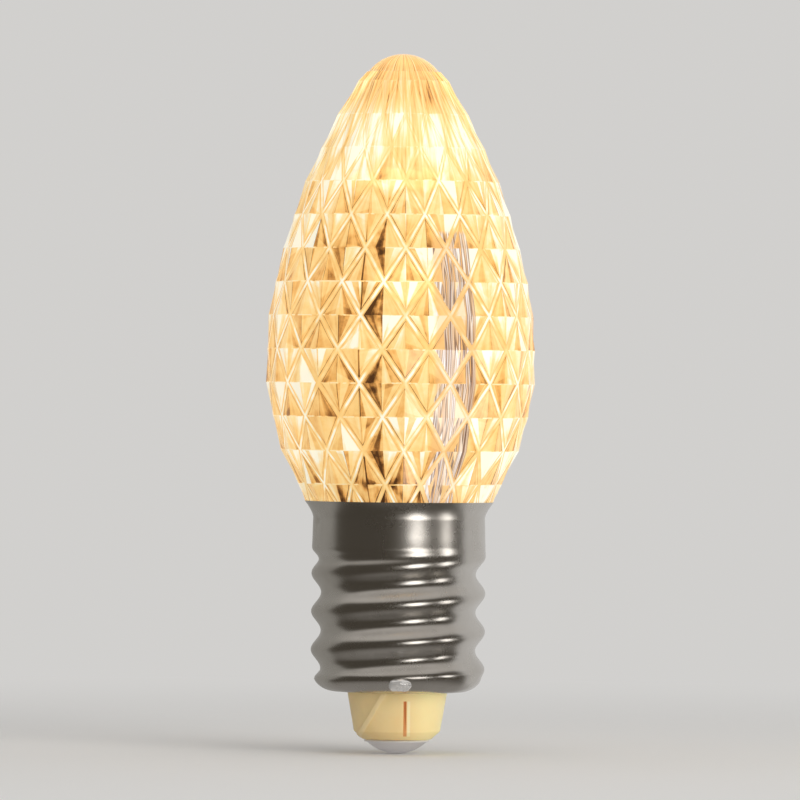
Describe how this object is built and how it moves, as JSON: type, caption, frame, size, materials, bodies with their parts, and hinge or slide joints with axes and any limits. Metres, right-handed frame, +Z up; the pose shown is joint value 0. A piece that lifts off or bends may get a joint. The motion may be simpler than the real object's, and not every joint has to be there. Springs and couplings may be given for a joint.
{
  "type": "christmas light bulb",
  "caption": "Candle-shaped light bulb with a clear faceted lens over upright LEDs, a rolled metal screw base, a cream insulating nose and a domed centre contact.",
  "frame": {"origin": "tip of the centre contact, where the bulb meets the bottom of its socket", "axes": "+Z up the axis from the contact to the tip of the lens, -Y to the front, where the solder joint is"},
  "size_m": [0.018, 0.018, 0.0466],
  "materials": {
    "clear_lens": "clear faceted polycarbonate, lit warm white",
    "nickel": "satin nickel plate on rolled brass sheet",
    "cream_plastic": "satin moulded cream plastic",
    "contact_metal": "smooth plated metal",
    "solder": "bright solder",
    "board": "pale solder-masked glass fibre board",
    "led": "lit warm white phosphor",
    "brown_ceramic": "orange-brown ceramic",
    "black_package": "black moulded package",
    "lead_wire": "tinned copper wire"
  },
  "bodies": {
    "root": {"lens": "clear_lens", "screw_shell": "nickel", "base_core": "cream_plastic", "centre_contact": "contact_metal", "solder_joint": "solder", "circuit_board": "board", "front_led": "led", "back_led": "led", "top_led": "led", "capacitor": "brown_ceramic", "rectifier": "black_package", "resistor": "black_package", "neutral_lead": "lead_wire", "live_lead": "lead_wire"}
  },
  "joints": []
}
